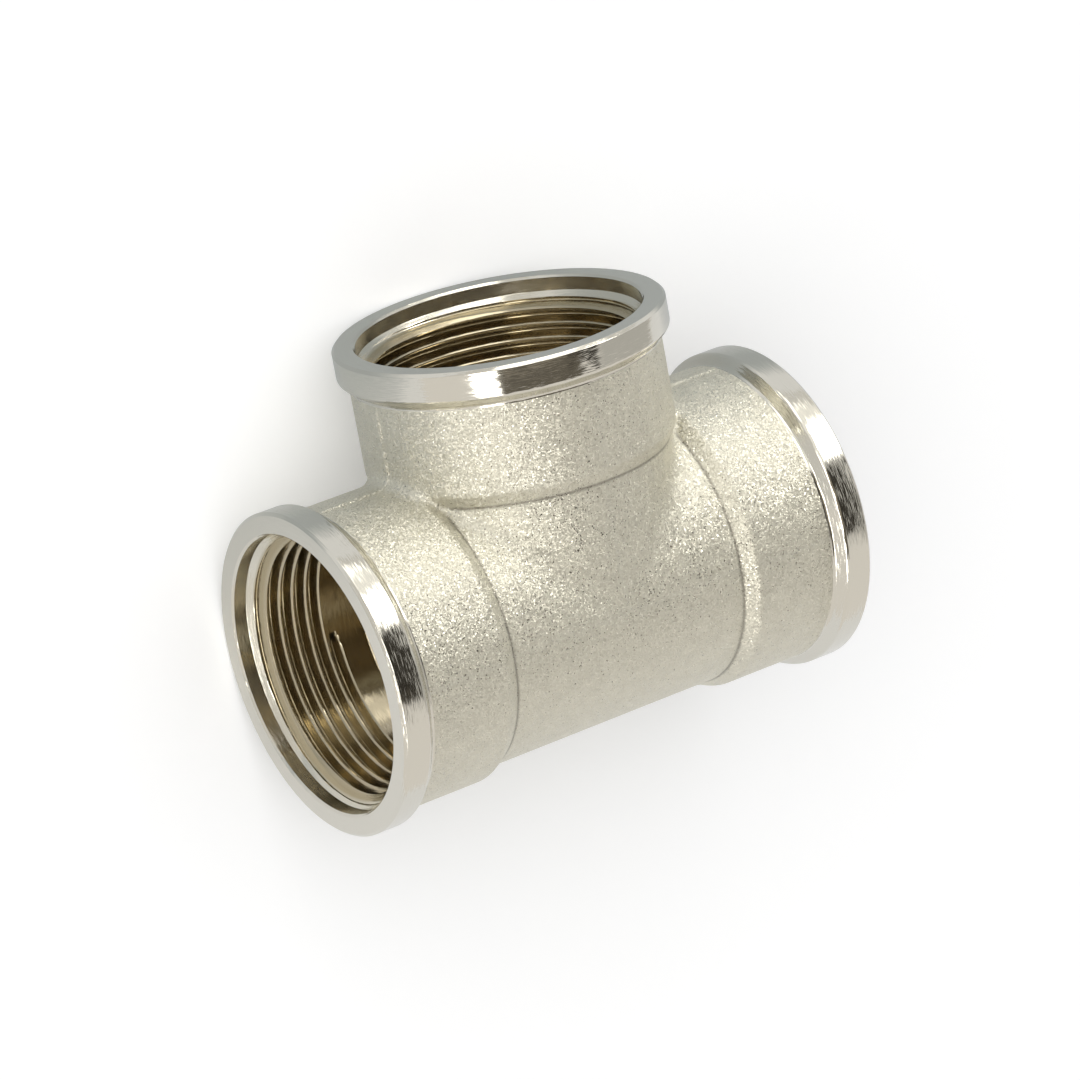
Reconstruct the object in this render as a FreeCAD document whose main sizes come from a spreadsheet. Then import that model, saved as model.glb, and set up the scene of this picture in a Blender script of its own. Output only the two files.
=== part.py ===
import FreeCAD, Part
import math
import os

import Sketcher
from FreeCAD import Vector

# Equal threaded tee, size 1 1/4, in nickel-plated forged brass: one solid piece.
# It lies on its three collars. X runs along the run, the branch points to -Y, Z is up.
# The port axes cross at the origin of the body, which its placement lifts off the ground.

os.makedirs("parts", exist_ok=True)

# Sizes that can be set, in mm
SET_SIZES = [
    # from the crossing of the axes to each of the three port faces
    ("centre_to_face", 42.0),
    # port bore: the thread, the plain mouth in front of it and the waterway behind it
    ("thread_crest_diameter", 38.952),
    ("thread_depth", 1.479),
    ("mouth_clearance", 0.545),
    ("mouth_depth", 2.4),
    ("mouth_chamfer", 0.6),
    ("waterway_step", 1.476),
    # plain land between the end of the thread bore and the crossing waterway
    ("bore_land", 3.5),
    # wall of the smaller middle of the forging
    ("middle_wall", 4.0),
    # sloped shoulder up to the blasted sockets; its foot lies inside the middle's radius
    ("shoulder_height", 1.4),
    ("shoulder_length", 2.2),
    ("shoulder_inset", 1.6),
    ("shoulder_foot_round", 3.5),
    ("shoulder_top_round", 3.0),
    # rounding where the branch grows out of the run
    ("crossing_round", 2.0),
    # turned collar at each port, measured back from the face
    ("collar_height", 1.6),
    ("collar_width", 4.4),
    ("collar_chamfer", 0.45),
    ("collar_taper", 1.3),
    ("collar_edge_round", 0.8),
    ("collar_root_round", 0.6),
]

# Sizes that follow from those above
DERIVED_SIZES = [
    ("crest_radius", "=thread_crest_diameter / 2"),
    ("root_radius", "=crest_radius + thread_depth"),
    ("mouth_radius", "=root_radius + mouth_clearance"),
    ("mouth_edge_radius", "=mouth_radius + mouth_chamfer"),
    ("mouth_edge_end", "=centre_to_face - mouth_chamfer"),
    ("mouth_end", "=centre_to_face - mouth_depth"),
    ("lead_in_end", "=mouth_end - mouth_radius + crest_radius"),
    ("waterway_radius", "=crest_radius - waterway_step"),
    ("thread_bore_end", "=waterway_radius + bore_land"),
    ("waterway_start", "=thread_bore_end - waterway_step"),
    ("middle_radius", "=waterway_radius + middle_wall"),
    ("shoulder_foot", "=middle_radius - shoulder_inset"),
    ("shoulder_top", "=shoulder_foot + shoulder_length"),
    ("socket_radius", "=middle_radius + shoulder_height"),
    ("collar_radius", "=socket_radius + collar_height"),
    ("face_radius", "=collar_radius - collar_chamfer"),
    ("collar_front", "=centre_to_face - collar_chamfer"),
    ("collar_back", "=centre_to_face - collar_width"),
    ("collar_root", "=collar_back - collar_taper"),
    ("crossing_y", "=(centre_to_face - collar_radius) / 2"),
]

AXIS = "axis"

# Corners of the half sections as (distance along the port axis, radius, rounding).
# They are listed from the crossing outwards.
OUTER_CORNERS = [
    ("shoulder_foot", "middle_radius", "shoulder_foot_round"),
    ("shoulder_top", "socket_radius", "shoulder_top_round"),
    ("collar_root", "socket_radius", "collar_root_round"),
    ("collar_back", "collar_radius", "collar_edge_round"),
    ("collar_front", "collar_radius", None),
    ("centre_to_face", "face_radius", None),
    ("centre_to_face", AXIS, None),
]
BORE_CORNERS = [
    ("waterway_start", "waterway_radius", None),
    ("thread_bore_end", "crest_radius", None),
    ("lead_in_end", "crest_radius", None),
    ("mouth_end", "mouth_radius", None),
    ("mouth_edge_end", "mouth_radius", None),
    ("centre_to_face", "mouth_edge_radius", None),
    ("centre_to_face", AXIS, None),
]

doc = FreeCAD.newDocument("ThreadedTee")
sizes = doc.addObject("Spreadsheet::Sheet", "Sizes")
sizes.Label = "Sizes"


def fill_sheet(rows, first_row):
    """Write one named cell per size."""
    for offset, (alias, content) in enumerate(rows):
        row = first_row + offset
        sizes.set("A%d" % row, alias)
        sizes.set("B%d" % row, str(content))
        sizes.setAlias("B%d" % row, alias)


def number(alias):
    """Value of a size; the axis lies at zero and a leading minus turns the sign."""
    if alias == AXIS:
        return 0.0
    sign = -1.0 if alias.startswith("-") else 1.0
    return sign * float(getattr(sizes, alias.lstrip("-")))


def origin_plane(body, role):
    """One of the origin planes of a body."""
    return [item for item in body.Origin.OriginFeatures if item.Role == role][0]


def follow(sketch, constraint, alias):
    """Add a constraint whose value follows a size in the sheet."""
    index = sketch.addConstraint(constraint)
    sketch.setExpression("Constraints[%d]" % index, "Sizes." + alias.lstrip("-"))


def pin_point(sketch, geometry, position, corner):
    """Hold a point at its distances from the two sketch axes."""
    for kind, alias, axis in (("DistanceX", corner[0], -2), ("DistanceY", corner[1], -1)):
        value = number(alias)
        if alias == AXIS:
            item = Sketcher.Constraint("PointOnObject", geometry, position, axis)
            sketch.addConstraint(item)
        elif value > 0:
            item = Sketcher.Constraint(kind, -1, 1, geometry, position, value)
            follow(sketch, item, alias)
        else:
            item = Sketcher.Constraint(kind, geometry, position, -1, 1, -value)
            follow(sketch, item, alias)


def corner_ends(here, before, after, radius):
    """Where a rounding starts and ends in a corner, and its centre."""
    back = (before - here).normalize()
    ahead = (after - here).normalize()
    half = back.getAngle(ahead) / 2
    reach = radius / math.tan(half)
    centre = here + (back + ahead).normalize() * (radius / math.sin(half))
    return here + back * reach, here + ahead * reach, centre


def draw_rounding(sketch, index, count, corner, ends, radius):
    """Tangent arc in a corner; the point where its two lines would meet stays pinned."""
    arrive, leave, centre = ends
    start = math.atan2(arrive.y - centre.y, arrive.x - centre.x)
    end = math.atan2(leave.y - centre.y, leave.x - centre.x)
    left_turn = (end - start) % (2 * math.pi) < math.pi
    circle = Part.Circle(centre, Vector(0, 0, 1), radius)
    if left_turn:
        arc = sketch.addGeometry(Part.ArcOfCircle(circle, start, end), False)
    else:
        arc = sketch.addGeometry(Part.ArcOfCircle(circle, end, start), False)
    point = Vector(number(corner[0]), number(corner[1]), 0)
    virtual = sketch.addGeometry(Part.Point(point), True)
    line_before = (index - 1) % count
    pin_point(sketch, virtual, 1, corner)
    for line in (line_before, index):
        sketch.addConstraint(Sketcher.Constraint("PointOnObject", virtual, 1, line))
    first, last = (1, 2) if left_turn else (2, 1)
    sketch.addConstraint(Sketcher.Constraint("Tangent", line_before, 2, arc, first))
    sketch.addConstraint(Sketcher.Constraint("Tangent", arc, last, index, 1))
    follow(sketch, Sketcher.Constraint("Radius", arc, radius), corner[2])


def add_profile(body, name, corners):
    """Closed, fully held half section in the middle plane of the tee."""
    sketch = body.newObject("Sketcher::SketchObject", name)
    sketch.AttachmentSupport = [(origin_plane(body, "XY_Plane"), "")]
    sketch.MapMode = "FlatFace"
    points = [Vector(number(x), number(y), 0) for x, y, _ in corners]
    count = len(points)
    ends = []
    for index, corner in enumerate(corners):
        here = points[index]
        if corner[2] is None:
            ends.append((here, here, here))
            continue
        around = (points[index - 1], points[(index + 1) % count])
        ends.append(corner_ends(here, around[0], around[1], number(corner[2])))
    for index in range(count):
        line = Part.LineSegment(ends[index][1], ends[(index + 1) % count][0])
        sketch.addGeometry(line, False)
    for index, corner in enumerate(corners):
        if corner[2] is None:
            line_before = (index - 1) % count
            joint = Sketcher.Constraint("Coincident", line_before, 2, index, 1)
            sketch.addConstraint(joint)
            pin_point(sketch, index, 1, corner)
        else:
            radius = number(corner[2])
            draw_rounding(sketch, index, count, corner, ends[index], radius)
    return sketch


def along_run(corners):
    """Corners of a half section that is the same at both ends of the run."""
    right = [(along, out, rounding) for along, out, rounding in corners]
    left = [("-" + along, out, rounding) for along, out, rounding in reversed(corners)]
    return right + left


def along_branch(corners, start_radius):
    """Corners of the half section of the branch, which starts on the crossing."""
    out = [(radius, "-" + along, rounding) for along, radius, rounding in corners]
    return [(AXIS, AXIS, None), (start_radius, AXIS, None)] + out


def turn(body, kind, name, sketch, axis):
    """Revolve a half section a full turn about one sketch axis."""
    feature = body.newObject(kind, name)
    feature.Profile = (sketch, [""])
    feature.ReferenceAxis = (sketch, [axis])
    feature.Angle = 360.0
    sketch.Visibility = False
    return feature


def crossing_edges(shape):
    """Names of the edges where the branch meets the run."""
    names = []
    for index, edge in enumerate(shape.Edges):
        if edge.Length < 0.01:
            continue
        points = edge.discretize(7)
        off_plane = max(abs(abs(point.x) - abs(point.y)) for point in points)
        if off_plane < 1e-3 and sum(point.y for point in points) < 0:
            names.append("Edge%d" % (index + 1))
    return names


def check_step(before, after, wanted, text):
    """A feature must change the volume the way it is meant to."""
    change = after.Shape.Volume - (before.Shape.Volume if before else 0.0)
    print("%s: %.1f mm3" % (text, change))
    if change * wanted <= 0:
        raise RuntimeError("%s has no effect" % text)


fill_sheet(SET_SIZES, 1)
fill_sheet(DERIVED_SIZES, len(SET_SIZES) + 1)
doc.recompute()

tee = doc.addObject("PartDesign::Body", "tee_body")
tee.Label = "tee_body"
tee.setExpression("Placement.Base.y", "Sizes.crossing_y")
tee.setExpression("Placement.Base.z", "Sizes.collar_radius")

run_sketch = add_profile(tee, "RunSection", along_run(OUTER_CORNERS))
run_solid = turn(tee, "PartDesign::Revolution", "Run", run_sketch, "H_Axis")
doc.recompute()
check_step(None, run_solid, 1, "run")

branch_corners = along_branch(OUTER_CORNERS, "middle_radius")
branch_sketch = add_profile(tee, "BranchSection", branch_corners)
branch_solid = turn(tee, "PartDesign::Revolution", "Branch", branch_sketch, "V_Axis")
doc.recompute()
check_step(run_solid, branch_solid, 1, "branch")

crossing = tee.newObject("PartDesign::Fillet", "CrossingRound")
crossing.Base = (branch_solid, crossing_edges(branch_solid.Shape))
crossing.setExpression("Radius", "Sizes.crossing_round")
doc.recompute()
check_step(branch_solid, crossing, 1, "crossing rounding")

run_bore_sketch = add_profile(tee, "RunBoreSection", along_run(BORE_CORNERS))
run_bore = turn(tee, "PartDesign::Groove", "RunBore", run_bore_sketch, "H_Axis")
doc.recompute()
check_step(crossing, run_bore, -1, "run bore")

branch_bore_corners = along_branch(BORE_CORNERS, "waterway_radius")
branch_bore_sketch = add_profile(tee, "BranchBoreSection", branch_bore_corners)
branch_bore = turn(tee, "PartDesign::Groove", "BranchBore", branch_bore_sketch, "V_Axis")
doc.recompute()
check_step(run_bore, branch_bore, -1, "branch bore")

for item in doc.Objects:
    if "Invalid" in item.State or "Error" in item.State:
        raise RuntimeError("%s is %s" % (item.Name, item.State))
    if item.TypeId == "Sketcher::SketchObject":
        print("%s: free directions %s" % (item.Name, item.solve()))

node = tee.Shape
if node.isNull() or not node.isValid() or len(node.Solids) != 1:
    raise RuntimeError("tee_body is not one valid solid")
box = node.BoundBox
print("tee_body: %.1f mm3, faces %d" % (node.Volume, len(node.Faces)))
print("x %.3f..%.3f y %.3f..%.3f z %.3f..%.3f" % (
    box.XMin, box.XMax, box.YMin, box.YMax, box.ZMin, box.ZMax))
node.exportStep("parts/tee_body.step")
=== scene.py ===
"""Equal threaded tee, size 1 1/4, dressed for the studio.

The hot-forged brass body is blasted, its collars and ports are turned and tapped, and
the whole piece is nickel plated. Sizes in the classes are in millimetres, as on a
drawing; every mesh is written in metres in the frame of the solid model.
"""

import logging
import math
from dataclasses import dataclass, field
from enum import Enum
from typing import Any, Mapping, Optional, Sequence

import bmesh
import bpy
import numpy as np
from mathutils import Matrix, Vector


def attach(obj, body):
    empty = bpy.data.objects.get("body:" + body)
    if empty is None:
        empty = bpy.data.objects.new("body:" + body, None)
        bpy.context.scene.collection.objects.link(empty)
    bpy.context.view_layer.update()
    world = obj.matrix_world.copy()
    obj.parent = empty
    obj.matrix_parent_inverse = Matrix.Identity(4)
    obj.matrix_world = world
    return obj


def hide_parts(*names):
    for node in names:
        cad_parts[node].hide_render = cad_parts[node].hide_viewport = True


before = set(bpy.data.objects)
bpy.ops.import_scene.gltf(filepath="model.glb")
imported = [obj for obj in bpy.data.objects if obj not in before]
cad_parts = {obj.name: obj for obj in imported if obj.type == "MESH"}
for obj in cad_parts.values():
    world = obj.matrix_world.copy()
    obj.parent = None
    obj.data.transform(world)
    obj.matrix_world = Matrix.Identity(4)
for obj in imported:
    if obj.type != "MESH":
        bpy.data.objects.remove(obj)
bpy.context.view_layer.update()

MM = 0.001
HALVINGS = 44  # steps of a search, enough to place a point far finer than a micrometre
QUARTER = math.radians(90.0)
NODE = "tee_body"
BODY = "root"

Array = np.ndarray
Corner = tuple[float, float, float]
Column = tuple[int, list[int]]

log = logging.getLogger("tee")


class Port(Enum):
    """The three ports, each with its outward axis and the direction of angle zero."""

    RIGHT = ((1.0, 0.0, 0.0), (0.0, -1.0, 0.0))
    LEFT = ((-1.0, 0.0, 0.0), (0.0, -1.0, 0.0))
    BRANCH = ((0.0, -1.0, 0.0), (1.0, 0.0, 0.0))

    def matrix(self, crossing: Vector) -> Matrix:
        """Frame of the port.

        Args:
            crossing: Point where the port axes cross, in metres.

        Returns:
            Matrix whose local Z runs out along the port from the crossing.
        """
        axis, zero = (Vector(value) for value in self.value)
        side = axis.cross(zero)
        rotation = Matrix((zero, side, axis)).transposed()
        return Matrix.Translation(crossing) @ rotation.to_4x4()


@dataclass(frozen=True)
class TeeSizes:
    """Sizes shared by all pieces of the tee, as on the drawing of the solid."""

    centre_to_face: float = 42.0
    crossing_y: float = 8.5
    crossing_z: float = 25.0
    crest_radius: float = 19.476
    root_radius: float = 20.955
    mouth_radius: float = 21.5
    mouth_depth: float = 2.4
    mouth_chamfer: float = 0.35
    waterway_radius: float = 18.0
    thread_bore_end: float = 21.5
    middle_radius: float = 22.0
    shoulder_foot: float = 20.4
    shoulder_top: float = 22.6
    socket_radius: float = 23.4
    collar_radius: float = 25.0
    collar_chamfer: float = 0.45
    collar_width: float = 4.4
    collar_taper: float = 1.3
    skin_end: float = 35.9

    @property
    def crossing(self) -> Vector:
        """Point where the port axes cross, in metres."""
        return Vector((0.0, self.crossing_y, self.crossing_z)) * MM

    @property
    def collar_back(self) -> float:
        """Distance from the crossing to the back edge of a collar."""
        return self.centre_to_face - self.collar_width

    @property
    def collar_root(self) -> float:
        """Distance from the crossing to the foot of a collar's taper."""
        return self.collar_back - self.collar_taper


def around(step: float = 2.0, seam: Sequence[float] = (1.3, 2.5, 3.0)) -> Array:
    """Angles of the columns round a port, closer together at the parting line.

    Args:
        step: Usual angle between two columns, in degrees.
        seam: Extra columns on both sides of 0 and 180 degrees.

    Returns:
        Rising angles from -90 degrees up to but not including 270, in radians.
    """
    angles = set(np.arange(-90.0, 270.0, step))
    for middle in (0.0, 180.0):
        angles.update(middle + sign * extra for extra in seam for sign in (-1.0, 1.0))
    return np.radians(sorted(angles))


def halves(angles: Array) -> tuple[Array, Array]:
    """Split the columns round a port into the half toward the crotch and the other half.

    Args:
        angles: Rising angles from -90 degrees up to but not including 270.

    Returns:
        Angles from -90 to 90 degrees, and from 90 to 270 degrees, ends included.
    """
    first = angles < QUARTER - 0.001
    return np.append(angles[first], QUARTER), np.append(angles[~first], 3 * QUARTER)


class Profile:
    """Half section of a port: a line with rounded corners."""

    def __init__(self, corners: Sequence[Corner], steps: int = 8) -> None:
        """Round the corners.

        Args:
            corners: Distance along the axis, radius and rounding of each corner.
            steps: Number of chords in a rounding.
        """
        rows = [corners[0][:2]]
        for before, here, after in zip(corners, corners[1:], corners[2:]):
            rows.extend(self._corner(before, here, after, steps))
        rows.append(corners[-1][:2])
        self.points = np.array(rows, float)

    @staticmethod
    def _corner(before: Corner, here: Corner, after: Corner,
                steps: int) -> list[tuple[float, ...]]:
        """Round one corner.

        Args:
            before: Corner before it.
            here: The corner.
            after: Corner after it.
            steps: Number of chords in the arc.

        Returns:
            Points on the arc, or the corner itself where it has no rounding.
        """
        point = Vector(here[:2])
        if here[2] <= 0.0:
            return [tuple(point)]
        back = (Vector(before[:2]) - point).normalized()
        ahead = (Vector(after[:2]) - point).normalized()
        half = back.angle(ahead) / 2
        centre = point + (back + ahead).normalized() * (here[2] / math.sin(half))
        reach = here[2] / math.tan(half)
        start = point + back * reach - centre
        turn = start.angle_signed(point + ahead * reach - centre)
        rows = []
        for index in range(steps + 1):
            arm = start.copy()
            arm.rotate(Matrix.Rotation(-turn * index / steps, 2))
            rows.append(tuple(centre + arm))
        return rows

    def radius(self, along: Array) -> Array:
        """Read the profile.

        Args:
            along: Distances along the axis.

        Returns:
            Radius at each distance.
        """
        return np.interp(along, self.points[:, 0], self.points[:, 1])


class Shell:
    """Mesh under construction: points in millimetres and faces between them."""

    def __init__(self) -> None:
        """Start with no points and no faces."""
        self.points: list[Array] = []
        self.faces: list[tuple[int, ...]] = []
        self.count = 0

    def add(self, points: Array) -> Array:
        """Add points.

        Args:
            points: Array whose last axis holds x, y and z.

        Returns:
            Index of each point, in the shape of the array without its last axis.
        """
        flat = points.reshape(-1, 3)
        index = np.arange(self.count, self.count + len(flat))
        self.points.append(flat)
        self.count += len(flat)
        return index.reshape(points.shape[:-1])

    def grid(self, index: Array, flip: bool = False) -> None:
        """Add the quads of a grid, whose rows and columns stay open.

        Args:
            index: Indices of the points, by row and column.
            flip: Whether the faces look the other way.
        """
        a, b = index[:-1, :-1], index[:-1, 1:]
        c, d = index[1:, 1:], index[1:, :-1]
        order = (d, c, b, a) if flip else (a, b, c, d)
        self.faces.extend(map(tuple, np.stack(order, -1).reshape(-1, 4).tolist()))

    def piece(self, name: str, matrix: Matrix, sharp: float = 32.0) -> bpy.types.Object:
        """Turn the shell into a piece that rides on the body.

        Args:
            name: Name of the object and its mesh.
            matrix: Place of the object in the frame.
            sharp: Edges that turn by more than this many degrees stay crisp.

        Returns:
            The new object.
        """
        mesh = bpy.data.meshes.new(name)
        points = np.concatenate(self.points) * MM
        mesh.from_pydata(points.tolist(), [], self.faces)
        merge(mesh)
        mesh.shade_smooth()
        mesh.set_sharp_from_angle(angle=math.radians(sharp))
        item = bpy.data.objects.new(name, mesh)
        bpy.context.collection.objects.link(item)
        item.matrix_world = matrix
        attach(item, BODY)
        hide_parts(NODE)
        log.info("%s: %d faces", name, len(mesh.polygons))
        return item


def merge(mesh: bpy.types.Mesh, reach: float = 1e-6) -> None:
    """Join points that lie on the same spot and drop faces without area.

    Args:
        mesh: Mesh to mend.
        reach: Largest distance between joined points, in metres.
    """
    work = bmesh.new()
    work.from_mesh(mesh)
    bmesh.ops.remove_doubles(work, verts=work.verts, dist=reach)
    bmesh.ops.dissolve_degenerate(work, edges=work.edges, dist=reach)
    work.to_mesh(mesh)
    work.free()
    mesh.validate()


def turned(points: Array, angles: Array) -> Array:
    """Points of a turned surface in the frame of its port.

    Args:
        points: Rows of distance along the axis and radius.
        angles: Angles round the axis.

    Returns:
        Grid with one row per point of the section and one column per angle.
    """
    along, radius = points[:, 0][:, None], points[:, 1][:, None]
    x, y = radius * np.cos(angles), radius * np.sin(angles)
    return np.stack((x, y, np.broadcast_to(along, x.shape)), -1)


def closed(index: Array) -> Array:
    """Close a grid of indices round the axis.

    Args:
        index: Indices of the points, by row and column.

    Returns:
        The grid with its first column repeated behind the last one.
    """
    return np.concatenate((index, index[:, :1]), 1)


@dataclass(frozen=True)
class Piece:
    """A piece of the tee: the sizes that it shares with the others, and its finish."""

    sizes: TeeSizes
    finish: bpy.types.Material

    def dress(self, item: bpy.types.Object) -> bpy.types.Object:
        """Give the piece its finish.

        Args:
            item: The bare piece.

        Returns:
            The same piece, dressed.
        """
        item.data.materials.append(self.finish)
        return item


@dataclass(frozen=True)
class ForgedSkin(Piece):
    """Blasted outer skin between the three collars."""

    crossing_round: float = 2.2
    crossing_growth: float = 11.0
    growth_from: float = 7.5
    growth_span: float = 14.5
    growth_power: float = 3.2
    foot_round: float = 0.6
    top_round: float = 1.6
    patch_end: float = 27.0
    shoulder: tuple[float, float] = (19.9, 23.3)
    shoulder_steps: tuple[float, float] = (0.35, 0.85)
    rows: int = 80
    plain_rows: int = 6
    land_height: float = 0.2
    land_width: float = 0.95
    land_edge: float = 0.2
    land_fade: float = 1.5
    # width of the band of painted shade along the foot of a shoulder
    painted_shade_width: float = 0.26
    scuffs: tuple[tuple[float, float, float, float], ...] = (
        (31.0, -4.9, 22.9, 8.0),
        (23.2, -3.6, 23.1, 5.0),
        (13.5, -4.8, 21.4, 6.0),
        (-6.0, -2.5, 21.9, 6.0),
        (-13.8, -3.6, 21.7, 6.0),
        (-22.8, -5.6, 22.6, 4.0),
        (6.0, -17.0, 21.2, 7.0),
    )

    def profile(self) -> Profile:
        """Draw the half section of the skin, the same at all three ports.

        Returns:
            Profile from the middle of the tee to the foot of the collar.
        """
        size = self.sizes
        return Profile([
            (-5.0, size.middle_radius, 0.0),
            (size.shoulder_foot, size.middle_radius, self.foot_round),
            (size.shoulder_top, size.socket_radius, self.top_round),
            (size.collar_root, size.socket_radius, 0.0),
        ], 10)

    def rounding(self, z: Array) -> Array:
        """Round run and branch into each other, little in the corners, wide on the flanks.

        Args:
            z: Heights above the middle plane.

        Returns:
            Radius of the rounding at each height.
        """
        share = np.clip((np.abs(z) - self.growth_from) / self.growth_span, 0, 1)
        return self.crossing_round + self.crossing_growth * share ** self.growth_power

    def distance(self, section: Profile, x: Array, y: Array, z: Array) -> Array:
        """Rough distance to the skin with the rounding where the branch leaves the run.

        Args:
            section: Half section of a port.
            x: Distance along the run, not negative.
            y: Distance along the branch, not negative.
            z: Height above the middle plane.

        Returns:
            Distance, negative inside the metal.
        """
        run_out, branch_out = np.hypot(y, z), np.hypot(x, z)
        run, branch = run_out - section.radius(x), branch_out - section.radius(y)
        cosine = np.clip(z * z / (run_out * branch_out), 0, 0.9999)
        curve = self.rounding(z)
        a, b = curve - run, curve - branch
        rest = 1 - cosine * cosine
        inside = (a > cosine * b) & (b > cosine * a)
        arm = np.sqrt(np.maximum(a * a + b * b - 2 * a * b * cosine, 0) / rest)
        return np.where(inside, curve - arm, np.minimum(run, branch))

    def seam(self, section: Profile, angles: Array) -> Array:
        """Find the seam, where the patches of run and branch meet.

        Args:
            section: Half section of a port.
            angles: Angles round the port.

        Returns:
            Radius of the seam at each angle.
        """
        low, high = np.full(angles.shape, 20.0), np.full(angles.shape, 31.0)
        side, up = np.cos(angles), np.sin(angles)
        for _ in range(HALVINGS):
            middle = (low + high) / 2
            out = self.distance(section, middle * side, middle * side, middle * up) > 0
            low, high = np.where(out, low, middle), np.where(out, middle, high)
        return (low + high) / 2

    def quarter(self, section: Profile, angles: Array) -> tuple[Array, Array]:
        """Distances along the port and radii of one half of a port's patch.

        The skin is found along rays. At the seam they start in the crossing, and they
        turn until they stand square on the axis where the plain socket begins. Half of
        the rows lie close together on the shoulder.

        Args:
            section: Half section of a port.
            angles: Angles from -90 to 90 degrees, where 0 faces the other port.

        Returns:
            Distance along the axis and radius, one row per step and column per angle.
        """
        step = np.linspace(0, 1, self.rows + 1)[:, None]
        start = self.seam(section, angles)
        first = np.maximum(start * np.cos(angles), 0)
        foot, top = (np.maximum(first, edge) for edge in self.shoulder)
        at_foot, at_top = self.shoulder_steps
        climb = np.clip((step - at_foot) / (at_top - at_foot), 0, 1)
        along = first + (foot - first) * np.clip(step / at_foot, 0, 1)
        along = along + (top - foot) * climb
        along = along + (self.patch_end - top) * np.clip((step - at_top) / (1 - at_top), 0, 1)
        share = (along - first) / (self.patch_end - first)
        target = start * (1 - share) + self.sizes.socket_radius * share
        root = along * share * share * (3 - 2 * share)
        side, up = np.cos(angles), np.sin(angles)
        low, high = np.full(along.shape, 0.8), np.full(along.shape, 1.3)
        for _ in range(HALVINGS):
            reach = (low + high) / 2
            x, out = root + (along - root) * reach, target * reach
            beyond = self.distance(section, x, out * side, out * up) > 0
            low, high = np.where(beyond, low, reach), np.where(beyond, reach, high)
        reach = (low + high) / 2
        return root + (along - root) * reach, target * reach

    def land(self, along: Array, angles: Array, radius: Array) -> Array:
        """Raise the trimmed parting land, a flat strip along the middle plane.

        Args:
            along: Distances along the port.
            angles: Angles round the port.
            radius: Radii of the skin.

        Returns:
            Height of the land above the skin.
        """
        off = np.abs(np.sin(angles)) * radius
        wave = 1 + 0.1 * np.sin(along * 0.9 + 1.3) + 0.06 * np.sin(along * 2.7)
        share = (self.land_width - off) / self.land_edge + 0.5
        return self.land_height * wave * np.clip(share, 0, 1)

    def build(self) -> bpy.types.Object:
        """Build the skin from four front patches, a back patch and three sockets.

        Returns:
            The skin.
        """
        size, section, shell = self.sizes, self.profile(), Shell()
        angles = around()
        front, back = halves(angles)
        along, radius = self.quarter(section, front)
        radius = radius + self.land(along, front, radius)
        side, up = radius * np.cos(front), radius * np.sin(front)
        for sign in (1.0, -1.0):
            run = np.stack((sign * along, -side, up), -1)
            branch = np.stack((sign * side, -along, up), -1)
            shell.grid(shell.add(run), flip=sign < 0)
            shell.grid(shell.add(branch), flip=sign > 0)
        rows = along[:, -1]
        rows = np.concatenate((-rows[:0:-1], rows))[:, None]
        radius = section.radius(np.abs(rows)) + 0 * back
        radius = radius + self.land(rows, back, radius)
        run = (rows + 0 * back, -radius * np.cos(back), radius * np.sin(back))
        shell.grid(shell.add(np.stack(run, -1)))
        rows = np.linspace(self.patch_end, size.skin_end, self.plain_rows + 1)[:, None]
        whole = np.append(angles, angles[0] + 2 * math.pi)
        radius = section.radius(rows) + 0 * whole
        fade = np.clip((size.skin_end - rows) / self.land_fade, 0, 1)
        radius = radius + fade * self.land(rows, whole, radius)
        rows = rows + 0 * whole
        side, up = radius * np.cos(whole), radius * np.sin(whole)
        for sign in (1.0, -1.0):
            run = np.stack((sign * rows, -side, up), -1)
            shell.grid(shell.add(run), flip=sign < 0)
        branch = np.stack((side, -rows, up), -1)
        shell.grid(shell.add(branch), flip=True)
        item = shell.piece("forged_skin", Matrix.Translation(size.crossing), 60.0)
        self.wear(item.data)
        return self.dress(item)

    def wear(self, mesh: bpy.types.Mesh) -> None:
        """Store at each point how scuffed the skin is and how much shade is painted on it.

        Args:
            mesh: Mesh of the skin.
        """
        points = np.empty(len(mesh.vertices) * 3)
        mesh.vertices.foreach_get("co", points)
        points = points.reshape(-1, 3) / MM
        worn, painted_shade_mask = np.zeros(len(points)), np.zeros(len(points))
        for *middle, reach in self.scuffs:
            away = np.linalg.norm(points - np.array(middle), axis=1)
            worn = np.maximum(worn, np.clip(1 - away / reach, 0, 1))
        x, y, z = points.T
        # painted shade: a dark band along the foot of each shoulder, where the fillet lies in
        # shade
        for along, out in ((np.abs(x), np.hypot(y, z)), (-y, np.hypot(x, z))):
            off = (along - self.sizes.shoulder_foot) / self.painted_shade_width
            near = np.clip(2 - 6 * np.abs(out - self.sizes.middle_radius), 0, 1)
            painted_shade_mask = np.maximum(painted_shade_mask, near * np.exp(-off * off))
        for name, values in (("worn", worn), ("painted_shade_mask", painted_shade_mask)):
            layer = mesh.attributes.new(name, "FLOAT", "POINT")
            layer.data.foreach_set("value", values)


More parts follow.
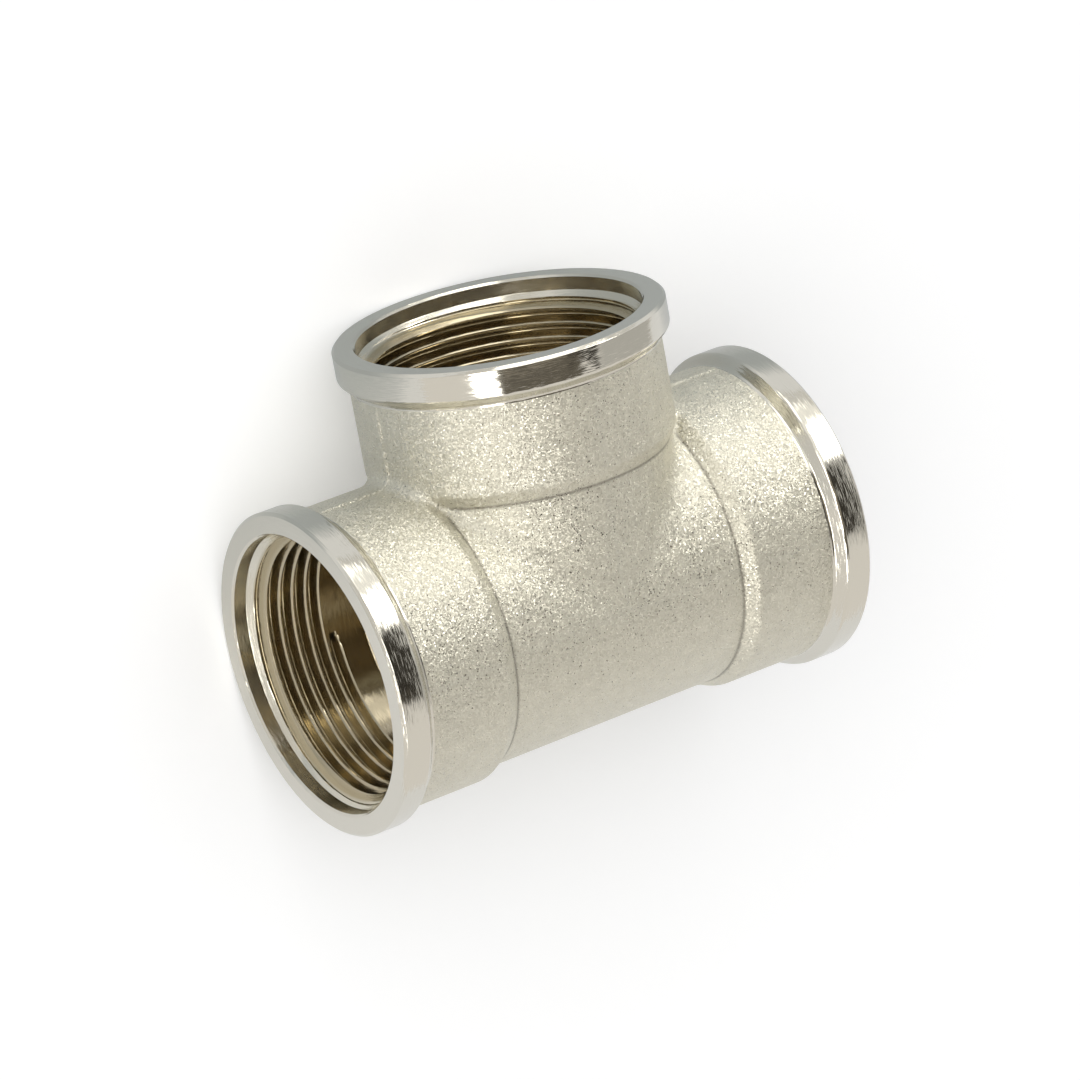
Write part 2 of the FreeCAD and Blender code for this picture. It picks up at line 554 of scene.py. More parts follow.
@dataclass(frozen=True)
class Collar(Piece):
    """Turned collar with its end face and the chamfer of the mouth."""

    port: Port
    root_round: float = 0.6
    edge_round: float = 0.8
    break_round: float = 0.1

    def profile(self) -> Profile:
        """Draw the half section from the skin over the collar to the mouth.

        Returns:
            Profile from the back of the collar to the edge of the mouth.
        """
        size = self.sizes
        face, edge = size.centre_to_face, size.collar_radius - size.collar_chamfer
        mouth = size.mouth_radius
        return Profile([
            (size.skin_end, size.socket_radius, 0.0),
            (size.collar_root, size.socket_radius, self.root_round),
            (size.collar_back, size.collar_radius, self.edge_round),
            (face - size.collar_chamfer, size.collar_radius, self.break_round),
            (face, edge, self.break_round),
            (face, mouth + size.mouth_chamfer, self.break_round),
            (face - size.mouth_chamfer, mouth, 0.0),
        ], 6)

    def build(self) -> bpy.types.Object:
        """Turn the collar.

        Returns:
            The collar.
        """
        shell = Shell()
        points = self.profile().points
        shell.grid(closed(shell.add(turned(points, around()))))
        name = "collar_" + self.port.name.lower()
        return self.dress(shell.piece(name, self.port.matrix(self.sizes.crossing)))


@dataclass(frozen=True)
class ThreadForm:
    """Whitworth pipe thread of 55 degrees, 11 to the inch, in a drilled bore."""

    pitch: float = 2.309
    half_angle: float = math.radians(27.5)
    root_round: float = 0.317
    cutter_radius: float = 2.5
    crest_break: float = 0.1

    def half_width(self, depth: float) -> float:
        """Measure the groove at the crest.

        Args:
            depth: Depth of the thread.

        Returns:
            Half the width of the groove.
        """
        apex = self.root_round / math.sin(self.half_angle) - self.root_round
        return (depth + apex) * math.tan(self.half_angle)

    def rise(self, off: Array, depth: float) -> Array:
        """Measure how deep the groove is.

        Args:
            off: Distances from the middle line of the groove.
            depth: Depth of the thread.

        Returns:
            Height of the groove above the crest at each distance.
        """
        half = self.half_width(depth)
        off = np.abs(off)
        flank = (half - off) / math.tan(self.half_angle)
        inner = np.maximum(self.root_round ** 2 - off * off, 0)
        bottom = depth - self.root_round + np.sqrt(inner)
        tangent = self.root_round * math.cos(self.half_angle)
        groove = np.where(off < tangent, bottom, flank)
        broken = off > half - self.crest_break
        slant = (half + self.crest_break - off) / (2 * self.crest_break)
        edge = self.crest_break / math.tan(self.half_angle)
        return np.maximum(np.where(broken, edge * slant, groove), 0)

    def rows(self, depth: float) -> Array:
        """Choose the rows of the mesh in one pitch.

        Args:
            depth: Depth of the thread.

        Returns:
            Distances of the rows from the middle of the groove.
        """
        half, last = self.half_width(depth), self.pitch / 2
        bend = self.root_round * math.cos(self.half_angle)
        root = bend * np.array([0.36, 0.68, 0.9, 1.02])
        flank = np.linspace(bend * 1.02, half - self.crest_break, 8)[1:]
        crest = [half + self.crest_break, (half + last) / 2 + 0.01]
        side = np.concatenate((root, flank, crest))
        return np.concatenate(([0.0], side, [last], self.pitch - side[::-1]))


@dataclass(frozen=True)
class ThreadedBore(Piece):
    """Mouth, lead-in, thread and drilled bore of one port."""

    port: Port
    phase_depth: float
    end_depth: float
    end_angle: float
    form: ThreadForm = field(default_factory=ThreadForm)
    thread_from: float = 2.65
    thread_to: float = 19.2

    def radius(self, angle: Array, depth: Array) -> Array:
        """Radius of the bore.

        Args:
            angle: Angle round the port, in radians.
            depth: Depth behind the face.

        Returns:
            The larger of the lead-in cone, the drilled bore and the groove.
        """
        size, pitch = self.sizes, self.form.pitch
        cone = size.mouth_radius - (depth - size.mouth_depth)
        plain = np.maximum(cone, size.crest_radius)
        lead = depth - self.phase_depth + pitch * angle / (2 * math.pi)
        turn = np.round(lead / pitch)
        thread = size.root_radius - size.crest_radius
        rise = self.form.rise(lead - turn * pitch, thread)
        past = self.run_out(turn * 2 * math.pi - angle)
        groove = size.crest_radius + rise - past
        return np.maximum(plain, np.where(rise > 0, groove, 0))

    def run_out(self, winding: Array) -> Array:
        """Measure how far the round cutter has left the wall past the end of the thread.

        Args:
            winding: Angle along the helix, in radians.

        Returns:
            Distance of the cutter's edge from the root of the thread.
        """
        size, tool = self.sizes, self.form.cutter_radius
        turn = round((self.end_depth - self.phase_depth) / self.form.pitch
                     + self.end_angle / (2 * math.pi))
        past = np.clip(winding - turn * 2 * math.pi + self.end_angle, 0, 0.5)
        centre = size.root_radius - tool
        reach = np.sqrt(np.maximum(tool ** 2 - (centre * np.sin(past)) ** 2, 0))
        return size.root_radius - centre * np.cos(past) - reach

    def thread(self, shell: Shell, angles: Array, top: Array, end: Array) -> None:
        """Fill the space between two rings with rows that follow the helix.

        Args:
            shell: Mesh to add to.
            angles: Angles of the columns.
            top: Indices of the ring in front of the thread.
            end: Indices of the ring behind the thread.
        """
        size, pitch = self.sizes, self.form.pitch
        rows = self.form.rows(size.root_radius - size.crest_radius)
        count = len(rows)
        first = math.floor((self.thread_from - self.phase_depth) / pitch) - 1
        last = math.ceil((self.thread_to - self.phase_depth) / pitch) + 2
        turns = np.arange(first, last + 1)[:, None] * pitch
        depths = (self.phase_depth + turns + rows).ravel()
        columns = []
        for angle in angles:
            depth = depths - pitch * angle / (2 * math.pi)
            used = (depth > self.thread_from + 0.03) & (depth < self.thread_to - 0.03)
            low, high = np.flatnonzero(used)[[0, -1]]
            depth = depth[low:high + 1]
            radius = self.radius(np.full(depth.shape, angle), depth)
            along = size.centre_to_face - depth
            point = (radius * math.cos(angle), radius * math.sin(angle), along)
            columns.append((low, shell.add(np.stack(point, -1)).tolist()))
        columns.append((columns[0][0] + count, columns[0][1]))
        ring = list(range(len(angles))) + [0]
        for number, (here, there) in enumerate(zip(columns, columns[1:])):
            pair = (ring[number], ring[number + 1])
            self._strip(shell, here, there, [top[i] for i in pair], [end[i] for i in pair])

    @staticmethod
    def _strip(shell: Shell, here: Column, there: Column, top: list[int],
               end: list[int]) -> None:
        """Join two neighbouring columns, whose first rows may differ.

        Args:
            shell: Mesh to add to.
            here: First row and point indices of a column.
            there: The same of the next column.
            top: Indices of the two points of the ring in front.
            end: Indices of the two points of the ring behind.
        """
        (low_a, a), (low_b, b) = here, there
        low = max(low_a, low_b)
        high = min(low_a + len(a), low_b + len(b)) - 1
        start_a, start_b = low - low_a, low - low_b
        shell.faces.append((top[0], top[1], *b[:start_b + 1], *a[:start_a + 1][::-1]))
        for row in range(high - low):
            i, j = start_a + row, start_b + row
            shell.faces.append((a[i], b[j], b[j + 1], a[i + 1]))
        i, j = high - low_a, high - low_b
        shell.faces.append((*a[i:][::-1], *b[j:], end[1], end[0])[::-1])

    def build(self) -> bpy.types.Object:
        """Build the bore from the mouth to the waterway.

        Returns:
            The bore.
        """
        size, shell, angles = self.sizes, Shell(), around()
        face = size.centre_to_face
        cone = size.mouth_radius - (self.thread_from - size.mouth_depth)
        mouth = Profile([
            (face - size.mouth_chamfer, size.mouth_radius, 0.0),
            (face - size.mouth_depth, size.mouth_radius, 0.06),
            (face - self.thread_from, cone, 0.0),
        ], 3).points
        step = size.crest_radius - size.waterway_radius
        inner = Profile([
            (face - self.thread_to, size.crest_radius, 0.0),
            (size.thread_bore_end, size.crest_radius, 0.15),
            (size.thread_bore_end - step, size.waterway_radius, 0.0),
        ], 4).points
        front = shell.add(turned(mouth, angles))
        behind = shell.add(turned(inner, angles))
        shell.grid(closed(front))
        shell.grid(closed(behind))
        self.thread(shell, angles, front[-1].tolist(), behind[0].tolist())
        name = "bore_" + self.port.name.lower()
        return self.dress(shell.piece(name, self.port.matrix(size.crossing)))


@dataclass(frozen=True)
class Waterway(Piece):
    """Drilled channels that meet in the middle of the tee."""

    rows: int = 14

    def build(self) -> bpy.types.Object:
        """Build the three channels up to the thread bores.

        Returns:
            The channels, as one piece.
        """
        size, shell = self.sizes, Shell()
        radius = size.waterway_radius
        end = size.thread_bore_end - (size.crest_radius - radius)
        front, back = halves(around())
        share = np.linspace(0, 1, self.rows + 1)[:, None]
        start = np.maximum(radius * np.cos(front), 0)
        along = start + (end - start) * share
        side = radius * np.cos(front) + 0 * along
        up = radius * np.sin(front) + 0 * along
        for sign in (1.0, -1.0):
            run = np.stack((sign * along, -side, up), -1)
            branch = np.stack((sign * side, -along, up), -1)
            shell.grid(shell.add(run), flip=sign > 0)
            shell.grid(shell.add(branch), flip=sign < 0)
        rows = along[:, -1]
        rows = np.concatenate((-rows[:0:-1], rows))[:, None] + 0 * back
        wall = (rows, -radius * np.cos(back) + 0 * rows, radius * np.sin(back) + 0 * rows)
        shell.grid(shell.add(np.stack(wall, -1)), flip=True)
        return self.dress(shell.piece("waterway", Matrix.Translation(size.crossing)))


def linear(code: str) -> tuple[float, float, float, float]:
    """Turn an sRGB colour into linear values.

    Args:
        code: Hex colour such as "#B5B2A5".

    Returns:
        Red, green and blue in linear light, and alpha 1.
    """
    shown = [int(code[i:i + 2], 16) / 255 for i in (1, 3, 5)]
    light = [v / 12.92 if v <= 0.04045 else ((v + 0.055) / 1.055) ** 2.4 for v in shown]
    return (*light, 1.0)


def node(tree: bpy.types.NodeTree, kind: str, settings: Optional[Mapping[str, Any]] = None,
         links: Optional[Mapping[Any, Any]] = None) -> bpy.types.Node:
    """Add a node.

    Args:
        tree: Tree to add to.
        kind: Blender's name of the node type.
        settings: Attributes by name, and values of input sockets by "in:" and name or index.
        links: Output socket to link to each input, by name or index.

    Returns:
        The new node.
    """
    item = tree.nodes.new(kind)
    for key, value in (settings or {}).items():
        if key.startswith("in:"):
            socket = key[3:]
            item.inputs[int(socket) if socket.isdigit() else socket].default_value = value
        else:
            setattr(item, key, value)
    for socket, source in (links or {}).items():
        tree.links.new(source, item.inputs[socket])
    return item


def tilted(tree: bpy.types.NodeTree, noise: bpy.types.NodeSocket, along: float,
           across: float) -> bpy.types.NodeSocket:
    """Lean the normal by a noise, along the rings of a turned surface and across them.

    Args:
        tree: Tree of the material.
        noise: Colour of the noise, about 0.5 in the mean.
        along: Lean along the rings for a noise of 1.
        across: Lean across the rings for a noise of 1.

    Returns:
        The leaning normal.
    """
    normal = node(tree, "ShaderNodeNewGeometry").outputs["Normal"]
    ring = node(tree, "ShaderNodeTangent", {"direction_type": "RADIAL", "axis": "Z"})
    side = node(tree, "ShaderNodeVectorMath", {"operation": "CROSS_PRODUCT"}, {
        0: normal, 1: ring.outputs[0]})
    parts = node(tree, "ShaderNodeSeparateXYZ", links={0: noise})
    for way, part, amount in ((ring, "X", along), (side, "Y", across)):
        size = node(tree, "ShaderNodeMath", {
            "operation": "MULTIPLY_ADD", "in:1": amount, "in:2": -amount / 2}, {
            0: parts.outputs[part]}).outputs[0]
        normal = node(tree, "ShaderNodeVectorMath", {
            "operation": "MULTIPLY_ADD"}, {
            0: way.outputs[0], 1: size, 2: normal}).outputs[0]
    return node(tree, "ShaderNodeVectorMath", {"operation": "NORMALIZE"}, {
        0: normal}).outputs[0]


@dataclass(frozen=True)
class BlastedNickel:
    """Nickel plate on a shot-blasted forging.

    The shot leaves facets a fifth of a millimetre wide, so the warm metal sparkles
    softly, and the trimmed and knocked places keep fine dark pits.
    """

    colour: str = "#DAD7CA"
    # dark colour of pits and stains, and also of the painted shade along the shoulders
    dirt_and_shade: str = "#4E483C"
    bright_facet: float = 0.24
    dull_facet: float = 0.6
    grain: float = 0.16
    lean: float = 0.7
    stain: float = 2.38
    stain_shade: float = 0.07
    # how far the painted shade along the foot of a shoulder darkens the colour
    painted_shade_depth: float = 0.5
    pit_shade: float = 0.65
    pits: float = 0.003
    pits_when_worn: float = 0.2

    def material(self) -> bpy.types.Material:
        """Make the material.

        Returns:
            The new material.
        """
        # blasted nickel plate: a pale warm metal that sparkles in facets and never mirrors
        item = bpy.data.materials.new("nickel_on_blasted_forging")
        item.use_nodes = True
        tree = item.node_tree
        shader = tree.nodes["Principled BSDF"]
        shader.inputs["Metallic"].default_value = 1.0
        place = node(tree, "ShaderNodeTexCoord").outputs["Object"]
        facets = node(tree, "ShaderNodeTexVoronoi", {
            "in:Scale": 1 / (self.grain * MM)}, {"Vector": place}).outputs["Color"]
        normal = tilted(tree, facets, self.lean, self.lean)
        stain = node(tree, "ShaderNodeTexNoise", {
            "in:Scale": 1 / (self.stain * MM), "in:Detail": 4.0, "in:Roughness": 0.6},
            {"Vector": place}).outputs["Fac"]
        worn = node(tree, "ShaderNodeAttribute", {"attribute_name": "worn"}).outputs["Fac"]
        chance = node(tree, "ShaderNodeSeparateXYZ", links={0: facets}).outputs["Z"]
        patchy = node(tree, "ShaderNodeMapRange", {
            "in:From Min": 0.45, "in:From Max": 0.62, "in:To Min": self.pits,
            "in:To Max": self.pits_when_worn}, {"Value": stain}).outputs[0]
        spread = node(tree, "ShaderNodeMath", {"operation": "MULTIPLY"}, {
            0: worn, 1: patchy}).outputs[0]
        level = node(tree, "ShaderNodeMath", {"operation": "ADD", "in:1": self.pits}, {
            0: spread}).outputs[0]
        pit = node(tree, "ShaderNodeMath", {"operation": "LESS_THAN"}, {
            0: chance, 1: level}).outputs[0]
        tone = node(tree, "ShaderNodeMapRange", {
            "in:From Min": 0.35, "in:From Max": 0.65, "in:To Max": self.stain_shade},
            {"Value": stain})
        # painted shade: the colour darkens along the foot of each shoulder, besides the real
        # stains and pits
        painted_shade_mask = node(tree, "ShaderNodeAttribute", {"attribute_name": "painted_shade_mask"})
        shade = node(tree, "ShaderNodeMath", {
            "operation": "MULTIPLY_ADD", "in:1": self.painted_shade_depth}, {
            0: painted_shade_mask.outputs["Fac"], 2: tone.outputs[0]})
        soil_and_painted_shade = node(tree, "ShaderNodeMath", {
            "operation": "MULTIPLY_ADD", "in:1": self.pit_shade}, {
            0: pit, 2: shade.outputs[0]})
        colour = node(tree, "ShaderNodeMix", {
            "data_type": "RGBA", "in:6": linear(self.colour), "in:7": linear(self.dirt_and_shade)},
            {0: soil_and_painted_shade.outputs[0]})
        rough = node(tree, "ShaderNodeMapRange", {
            "in:From Max": 0.5, "in:To Min": self.bright_facet,
            "in:To Max": self.dull_facet}, {"Value": chance})
        tree.links.new(colour.outputs[2], shader.inputs["Base Color"])
        tree.links.new(rough.outputs[0], shader.inputs["Roughness"])
        tree.links.new(normal, shader.inputs["Normal"])
        return item


@dataclass(frozen=True)
class TurnedNickel:
    """Nickel plate on turned brass.

    The lathe tool leaves fine rings round the axis of the port, so lights are drawn
    out across the rings and their edges break into narrow streaks. Deep in a bore,
    most of all in the grooves of a thread, a darker brown is painted in as shade and bounced
    light.
    """

    name: str = "nickel_on_turned_brass"
    colour: str = "#D9D6CC"
    # darker brown painted deep in a bore as shade and bounced light, or None for a plain
    # colour
    painted_bore_shade: Optional[str] = None
    # painted bore shade: its share on the crests, radii to the full share, depths where it
    # fades in
    crest_share: float = 0.8
    groove: tuple[float, float] = (19.55, 20.1)
    painted_shade_from: tuple[float, float] = (38.9, 38.5)
    roughness: float = 0.1
    ring: float = 0.12
    streak: float = 2.2
    streak_radius: float = 22.0
    lean_along: float = 0.13
    lean_across: float = 0.55
    anisotropy: float = 0.5

    def material(self) -> bpy.types.Material:
        """Make the material.

        Returns:
            The new material.
        """
        # turned nickel plate: bright, with lights that break into streaks along the rings
        item = bpy.data.materials.new(self.name)
        item.use_nodes = True
        tree = item.node_tree
        shader = tree.nodes["Principled BSDF"]
        shader.inputs["Metallic"].default_value = 1.0
        shader.inputs["Anisotropic"].default_value = self.anisotropy
        shader.inputs["Anisotropic Rotation"].default_value = 0.25
        place = node(tree, "ShaderNodeTexCoord").outputs["Object"]
        parts = node(tree, "ShaderNodeSeparateXYZ", links={0: place})
        flat = node(tree, "ShaderNodeVectorMath", {
            "operation": "MULTIPLY", "in:1": (1.0, 1.0, 0.0)}, {0: place})
        radius = node(tree, "ShaderNodeVectorMath", {"operation": "LENGTH"}, {
            0: flat.outputs[0]}).outputs["Value"]
        angle = node(tree, "ShaderNodeMath", {"operation": "ARCTAN2"}, {
            0: parts.outputs["Y"], 1: parts.outputs["X"]})
        rings = node(tree, "ShaderNodeCombineXYZ", links={
            0: parts.outputs["Z"], 1: radius, 2: angle.outputs[0]})
        close, along = 1 / (self.ring * MM), self.streak_radius / self.streak
        stretched = node(tree, "ShaderNodeVectorMath", {
            "operation": "MULTIPLY", "in:1": (close, close, along)}, {0: rings.outputs[0]})
        lines = node(tree, "ShaderNodeTexNoise", {
            "in:Scale": 1.0, "in:Detail": 2.0, "in:Roughness": 0.65},
            {"Vector": stretched.outputs[0]})
        normal = tilted(tree, lines.outputs["Color"], self.lean_along, self.lean_across)
        rough = node(tree, "ShaderNodeMapRange", {
            "in:From Min": 0.3, "in:From Max": 0.7, "in:To Min": self.roughness - 0.04,
            "in:To Max": self.roughness + 0.06}, {"Value": lines.outputs["Fac"]})
        grain = node(tree, "ShaderNodeTangent", {"direction_type": "RADIAL", "axis": "Z"})
        shader.inputs["Base Color"].default_value = linear(self.colour)
        # painted shade of a bore, where a darker brown is given
        if self.painted_bore_shade:
            tint = self.painted_bore_shading(tree, radius, parts.outputs["Z"])
            tree.links.new(tint, shader.inputs["Base Color"])
        tree.links.new(rough.outputs[0], shader.inputs["Roughness"])
        tree.links.new(normal, shader.inputs["Normal"])
        tree.links.new(grain.outputs[0], shader.inputs["Tangent"])
        return item

    def painted_bore_shading(self, tree: bpy.types.NodeTree, radius: bpy.types.NodeSocket,
                 along: bpy.types.NodeSocket) -> bpy.types.NodeSocket:
        """Paint shade into the colour of a bore, darker behind the mouth and in grooves.

        Args:
            tree: Tree of the material.
            radius: Distance from the axis of the port.
            along: Distance along the axis.

        Returns:
            The colour.
        """
        bottom = node(tree, "ShaderNodeMapRange", {
            "in:From Min": self.groove[0] * MM, "in:From Max": self.groove[1] * MM,
            "in:To Min": self.crest_share}, {"Value": radius})
        deep = node(tree, "ShaderNodeMapRange", {
            "in:From Min": self.painted_shade_from[0] * MM, "in:From Max": self.painted_shade_from[1] * MM},
            {"Value": along})
        share = node(tree, "ShaderNodeMath", {"operation": "MULTIPLY"}, {
            0: bottom.outputs[0], 1: deep.outputs[0]})
        return node(tree, "ShaderNodeMix", {
            "data_type": "RGBA", "in:6": linear(self.colour), "in:7": linear(self.painted_bore_shade)},
            {0: share.outputs[0]}).outputs[2]


@dataclass(frozen=True)
class DrilledNickel:
    """Nickel plate in the drilled channels: duller and browner, where little plate lands."""

    colour: str = "#C4B79C"
    roughness: float = 0.24
    mark: float = 0.5
    lean: float = 0.14

    def material(self) -> bpy.types.Material:
        """Make the material.

        Returns:
            The new material.
        """
        # drilled and barely plated: brownish, with soft lights and no clear mirror image
        item = bpy.data.materials.new("nickel_in_drilled_channel")
        item.use_nodes = True
        tree = item.node_tree
        shader = tree.nodes["Principled BSDF"]
        shader.inputs["Metallic"].default_value = 1.0
        shader.inputs["Base Color"].default_value = linear(self.colour)
        place = node(tree, "ShaderNodeTexCoord").outputs["Object"]
        marks = node(tree, "ShaderNodeTexNoise", {
            "in:Scale": 1 / (self.mark * MM), "in:Detail": 2.0}, {"Vector": place})
        normal = tilted(tree, marks.outputs["Color"], self.lean, self.lean)
        rough = node(tree, "ShaderNodeMapRange", {
            "in:To Min": self.roughness - 0.08, "in:To Max": self.roughness + 0.08},
            {"Value": marks.outputs["Fac"]})
        tree.links.new(rough.outputs[0], shader.inputs["Roughness"])
        tree.links.new(normal, shader.inputs["Normal"])
        return item


@dataclass(frozen=True)
class LightPatch:
    """Patch of the surround, in degrees right of the camera and above the table."""

    right: tuple[float, float]
    above: tuple[float, float]
    strength: float
    edge: float = 2.0
    tint: str = "#FFFDF7"

    def share(self, tree: bpy.types.NodeTree, angles: bpy.types.NodeSocket
              ) -> bpy.types.NodeSocket:
        """Measure how far a direction lies in the patch.

        Args:
            tree: Tree of the world.
            angles: Direction, as angles to the right and above in radians.

        Returns:
            Share of the patch in this direction, from 0 to 1.
        """
        spans = (self.right, self.above)
        middle = [math.radians(sum(span) / 2) for span in spans]
        half = [math.radians((span[1] - span[0]) / 2) for span in spans]
        off = node(tree, "ShaderNodeVectorMath", {
            "operation": "SUBTRACT", "in:1": (*middle, 0)}, {0: angles})
        size = node(tree, "ShaderNodeVectorMath", {"operation": "ABSOLUTE"}, {
            0: off.outputs[0]})
        past = node(tree, "ShaderNodeVectorMath", {
            "operation": "SUBTRACT", "in:1": (*half, 0)}, {0: size.outputs[0]})
        parts = node(tree, "ShaderNodeSeparateXYZ", links={0: past.outputs[0]})
        far = node(tree, "ShaderNodeMath", {"operation": "MAXIMUM"}, {
            0: parts.outputs[0], 1: parts.outputs[1]})
        edge = math.radians(self.edge / 2)
        return node(tree, "ShaderNodeMapRange", {
            "in:From Min": -edge, "in:From Max": edge, "in:To Min": 1.0, "in:To Max": 0.0},
            {"Value": far.outputs[0]}).outputs[0]


@dataclass(frozen=True)
class Studio:
    """White floor and backdrop, soft surround and the camera."""

    floor_half: float = 3.0
    card: str = "#FCFCFC"
    painted_shadow_near: str = "#A6ACAE"
    mirrored_far: str = "#EAEAEA"
    near_middle: float = -0.045
    near_reach: tuple[float, float] = (0.01, 0.06)
    glow: float = 0.12
    glow_seen: float = 0.03
    camera_place: tuple[float, float, float] = (0.400186, -0.253075, 0.711077)
    camera_turn: tuple[float, float, float, float] = (
        0.12710296, 0.2704875, -0.12476947, 0.94610461)
    lens: float = 186.423
    # from the room in front and its dark gap to the boards, the soft box and the slit
    patches: tuple[LightPatch, ...] = (
        LightPatch((-7.0, 42.0), (-12.0, 29.0), 0.3, 3.0, "#FFF2DC"),
        LightPatch((40.0, 65.0), (-18.0, 29.0), 0.04, 3.0, "#FFF2DC"),
        LightPatch((-7.0, 52.0), (-31.0, -11.0), 0.14, 3.0, "#FFF2DC"),
        LightPatch((66.0, 120.0), (-24.0, 2.0), 0.55, 4.0),
        LightPatch((-14.0, 104.0), (29.0, 64.0), 1.15, 3.0),
        LightPatch((62.0, 92.0), (30.0, 48.0), 8.5, 3.0),
        LightPatch((-14.0, 100.0), (62.0, 90.0), 2.6, 3.0),
        LightPatch((-24.0, -8.0), (-45.0, 30.0), 5.0, 1.0),
    )
    table: str = "#EFEBE6"
    boards: str = "#E0DEDA"
    front: tuple[float, float, float] = (0.504, 0.0, 0.864)
    right: tuple[float, float, float] = (-0.864, 0.0, 0.504)
    above: tuple[float, float, float] = (0.0, -1.0, 0.0)
    horizon: tuple[float, float] = (-0.09, -0.02)
    key: tuple[float, float, float] = (0.5, -0.48, 0.72)
    key_strength: float = 1.8
    fill_strength: float = 0.25

    def camera(self) -> None:
        """Place the camera at the photograph's point of view."""
        data = bpy.data.cameras.new("camera")
        data.sensor_width = 36.0
        data.lens = self.lens
        item = bpy.data.objects.new("camera", data)
        bpy.context.collection.objects.link(item)
        item.location = self.camera_place
        item.rotation_mode = "QUATERNION"
        item.rotation_quaternion = self.camera_turn
        bpy.context.scene.camera = item

    def floor(self) -> None:
        """Lay the white card that the tee lies on.

        The camera sees it white. Mirrored in the metal it is a soft grey near the branch: a
        painted shadow.
        """
        half = self.floor_half
        corners = [(-half, -half, 0), (half, -half, 0), (half, half, 0), (-half, half, 0)]
        mesh = bpy.data.meshes.new("floor")
        mesh.from_pydata(corners, [], [(0, 1, 2, 3)])
        item = bpy.data.objects.new("floor", mesh)
        bpy.context.collection.objects.link(item)
        paper = bpy.data.materials.new("matt_white_card")
        paper.use_nodes = True
        tree = paper.node_tree
        shader = tree.nodes["Principled BSDF"]
        shader.inputs["Roughness"].default_value = 0.9
        shader.inputs["Specular IOR Level"].default_value = 0.0
        ray = node(tree, "ShaderNodeLightPath").outputs["Is Camera Ray"]
        place = node(tree, "ShaderNodeTexCoord").outputs["Object"]
        parts = node(tree, "ShaderNodeSeparateXYZ", links={0: place})
        # painted shadow: as mirrored in the metal, the card darkens in a band near the branch
        off = node(tree, "ShaderNodeMath", {
            "operation": "SUBTRACT", "in:1": self.near_middle}, {0: parts.outputs["Y"]})
        away = node(tree, "ShaderNodeMath", {"operation": "ABSOLUTE"}, {0: off.outputs[0]})
        slope = node(tree, "ShaderNodeMapRange", {
            "in:From Min": self.near_reach[0], "in:From Max": self.near_reach[1]},
            {"Value": away.outputs[0]})
        grey = node(tree, "ShaderNodeMix", {
            "data_type": "RGBA", "in:6": linear(self.painted_shadow_near),
            "in:7": linear(self.mirrored_far)}, {0: slope.outputs[0]})
        colour = node(tree, "ShaderNodeMix", {
            "data_type": "RGBA", "in:7": linear(self.card)}, {0: ray, 6: grey.outputs[2]})
        glow = node(tree, "ShaderNodeMath", {
            "operation": "MULTIPLY_ADD", "in:1": self.glow_seen, "in:2": self.glow}, {0: ray})
        shader.inputs["Emission Color"].default_value = (1, 1, 1, 1)
        tree.links.new(colour.outputs[2], shader.inputs["Base Color"])
        tree.links.new(glow.outputs[0], shader.inputs["Emission Strength"])
        mesh.materials.append(paper)

    def world(self) -> None:
        """Light the scene with white boards, a soft box, a slit and a dark gap.

        The metal mirrors this surround. Everything else is lit by one soft light from
        the key direction, which gives the floor its shadow.
        """
        world = bpy.data.worlds.new("studio")
        bpy.context.scene.world = world
        world.use_nodes = True
        tree = world.node_tree
        way = node(tree, "ShaderNodeTexCoord").outputs["Generated"]
        front, side, above = (node(tree, "ShaderNodeVectorMath", {
            "operation": "DOT_PRODUCT", "in:1": axis}, {0: way}).outputs["Value"]
            for axis in (self.front, self.right, self.above))
        right = node(tree, "ShaderNodeMath", {"operation": "ARCTAN2"}, {0: side, 1: front})
        rise = node(tree, "ShaderNodeMath", {"operation": "ARCSINE"}, {0: above})
        angles = node(tree, "ShaderNodeCombineXYZ", links={
            0: right.outputs[0], 1: rise.outputs[0]}).outputs[0]
        height = node(tree, "ShaderNodeMapRange", {
            "in:From Min": self.horizon[0], "in:From Max": self.horizon[1]},
            {"Value": above})
        colour = node(tree, "ShaderNodeMix", {
            "data_type": "RGBA", "in:6": linear(self.table), "in:7": linear(self.boards)},
            {0: height.outputs[0]}).outputs[2]
        for patch in self.patches:
            tint = [value * patch.strength for value in linear(patch.tint)[:3]] + [1.0]
            colour = node(tree, "ShaderNodeMix", {"data_type": "RGBA", "in:7": tint}, {
                0: patch.share(tree, angles), 6: colour}).outputs[2]
        slant = node(tree, "ShaderNodeVectorMath", {
            "operation": "DOT_PRODUCT", "in:1": self.key}, {0: way})
        beam = node(tree, "ShaderNodeMath", {"operation": "MAXIMUM", "in:1": 0.0}, {
            0: slant.outputs["Value"]}).outputs[0]
        square = node(tree, "ShaderNodeMath", {"operation": "MULTIPLY"}, {0: beam, 1: beam})
        plain = node(tree, "ShaderNodeMath", {
            "operation": "MULTIPLY_ADD", "in:1": self.key_strength,
            "in:2": self.fill_strength}, {0: square.outputs[0]})
        ray = node(tree, "ShaderNodeLightPath").outputs["Is Glossy Ray"]
        whole = node(tree, "ShaderNodeMix", {"data_type": "RGBA"}, {
            0: ray, 6: plain.outputs[0], 7: colour})
        tree.links.new(whole.outputs[2], tree.nodes["Background"].inputs["Color"])

    def build(self) -> None:
        """Build the whole studio."""
        bpy.context.scene.view_settings.view_transform = "Standard"
        self.camera()
        self.floor()
        self.world()


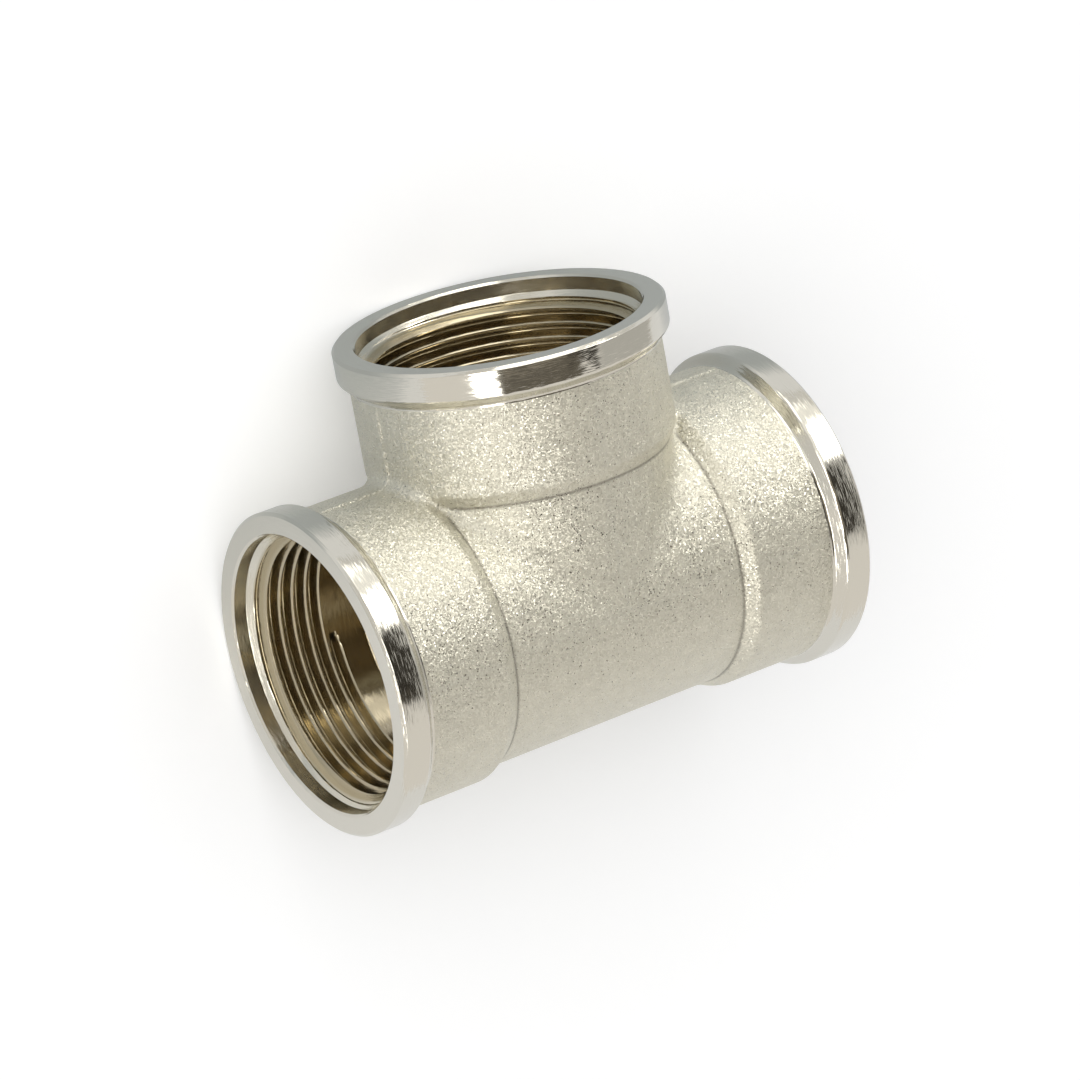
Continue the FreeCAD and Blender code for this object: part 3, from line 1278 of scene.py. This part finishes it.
def main() -> None:
    """Build the tee piece by piece, dress it and set the studio."""
    logging.basicConfig(level=logging.INFO, format="%(message)s")
    Studio().build()
    sizes = TeeSizes()
    blasted = BlastedNickel().material()
    bright = TurnedNickel().material()
    # the bores get a darker brown painted in as shade, deep behind the mouth and in the
    # grooves
    bored = TurnedNickel("nickel_on_cut_thread", "#D9D5C8", painted_bore_shade="#B0A488",
                         roughness=0.17, lean_across=0.3).material()
    drilled = DrilledNickel().material()
    ForgedSkin(sizes, blasted).build()
    Waterway(sizes, drilled).build()
    starts = {
        Port.RIGHT: (4.17, 15.3, math.radians(103.0)),
        Port.LEFT: (5.1, 16.3, 1.0),
        Port.BRANCH: (4.882, 15.9, 2.0),
    }
    for port, (phase_depth, end_depth, end_angle) in starts.items():
        Collar(sizes, bright, port).build()
        ThreadedBore(sizes, bored, port, phase_depth, end_depth, end_angle).build()


if __name__ == "__main__":
    main()
